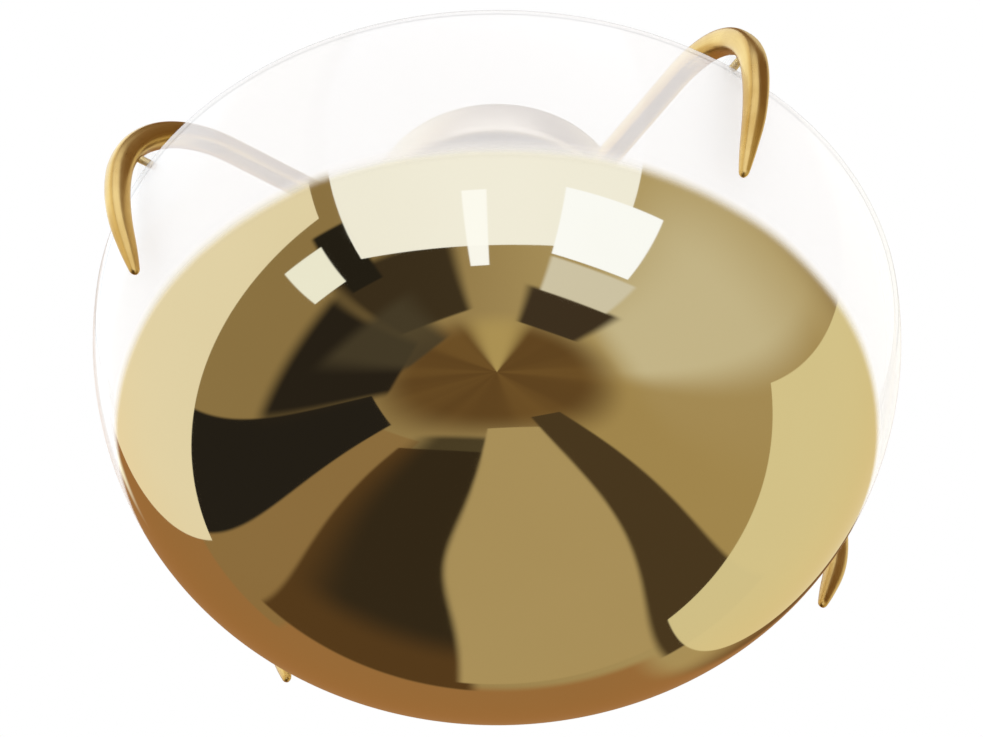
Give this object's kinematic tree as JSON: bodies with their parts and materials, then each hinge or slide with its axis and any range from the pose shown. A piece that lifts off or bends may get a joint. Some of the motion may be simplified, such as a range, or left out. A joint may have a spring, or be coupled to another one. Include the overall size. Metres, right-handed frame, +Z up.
{
  "type": "semi-flush ceiling light",
  "caption": "Semi-flush ceiling light: deep clear glass bowl, mirror-coated gold below, held at its rim by brass talon arms.",
  "frame": {"origin": "on the lamp's axis, in the ceiling plane, at the centre of the crossbar's slots", "axes": "+Z up towards the ceiling; arms along +X, +Y, -X and -Y"},
  "size_m": [0.5458, 0.5458, 0.337],
  "materials": {
    "satin_brass": "brushed satin lacquer",
    "bright_brass": "turned, bright",
    "mirrored_glass": "clear above, gold mirror coating below, fading at the edge",
    "clear_clip": "clear moulded polycarbonate",
    "zinc_plate": "zinc plated",
    "nickel": "nickel plated",
    "ceramic": "glazed ceramic",
    "ivory_plastic": "moulded",
    "lead_sleeve": "silicone insulation",
    "ground_green": "green dyed zinc",
    "bulb_glass": "frosted"
  },
  "bodies": {
    "lamp_frame": {"crossbar": "zinc_plate", "ground_screw": "ground_green", "nipple": "zinc_plate", "nipple_nuts": "zinc_plate", "lock_washer": "zinc_plate", "terminal_block": "ivory_plastic", "terminal_screws": "bright_brass", "supply_leads": "lead_sleeve", "stem": "satin_brass", "stem_plug": "zinc_plate", "hub": "satin_brass", "arm_set_screws": "zinc_plate", "talon_arm_1": "satin_brass", "talon_arm_2": "satin_brass", "talon_arm_3": "satin_brass", "talon_arm_4": "satin_brass", "rim_clip_1": "clear_clip", "rim_clip_2": "clear_clip", "rim_clip_3": "clear_clip", "rim_clip_4": "clear_clip", "glass_bowl": "mirrored_glass", "lamp_pan": "satin_brass", "pan_nipple": "zinc_plate", "pan_nut": "zinc_plate", "wiring_cap": "satin_brass", "crimp_caps": "ivory_plastic", "lampholder_1": "ceramic", "lampholder_2": "ceramic", "lampholder_3": "ceramic", "screw_shell_1": "bright_brass", "screw_shell_2": "bright_brass", "screw_shell_3": "bright_brass", "centre_contact_1": "bright_brass", "centre_contact_2": "bright_brass", "centre_contact_3": "bright_brass", "holder_lead_1": "lead_sleeve", "holder_lead_2": "lead_sleeve", "holder_lead_3": "lead_sleeve", "bulb_cap_1": "nickel", "bulb_cap_2": "nickel", "bulb_cap_3": "nickel", "bulb_globe_1": "bulb_glass", "bulb_globe_2": "bulb_glass", "bulb_globe_3": "bulb_glass"},
    "canopy": {"canopy": "satin_brass", "slip_ring": "satin_brass"},
    "ring_screw": {"ring_screw": "bright_brass"},
    "rim_pin_1": {"rim_pin_1": "bright_brass"},
    "rim_pin_2": {"rim_pin_2": "bright_brass"},
    "rim_pin_3": {"rim_pin_3": "bright_brass"},
    "rim_pin_4": {"rim_pin_4": "bright_brass"}
  },
  "joints": [
    {"name": "canopy_slide", "type": "slide", "parent": "lamp_frame", "child": "canopy", "axis": [0, 0, -1], "range_m": [0, 0.028]},
    {"name": "ring_screw_slide", "type": "slide", "parent": "canopy", "child": "ring_screw", "axis": [0.7071, 0.7071, 0], "range_m": [0, 0.002]},
    {"name": "rim_pin_1_slide", "type": "slide", "parent": "lamp_frame", "child": "rim_pin_1", "axis": [1, 0, 0], "range_m": [0, 0.0065]},
    {"name": "rim_pin_2_slide", "type": "slide", "parent": "lamp_frame", "child": "rim_pin_2", "axis": [0, 1, 0], "range_m": [0, 0.0065]},
    {"name": "rim_pin_3_slide", "type": "slide", "parent": "lamp_frame", "child": "rim_pin_3", "axis": [-1, 0, 0], "range_m": [0, 0.0065]},
    {"name": "rim_pin_4_slide", "type": "slide", "parent": "lamp_frame", "child": "rim_pin_4", "axis": [0, -1, 0], "range_m": [0, 0.0065]}
  ]
}
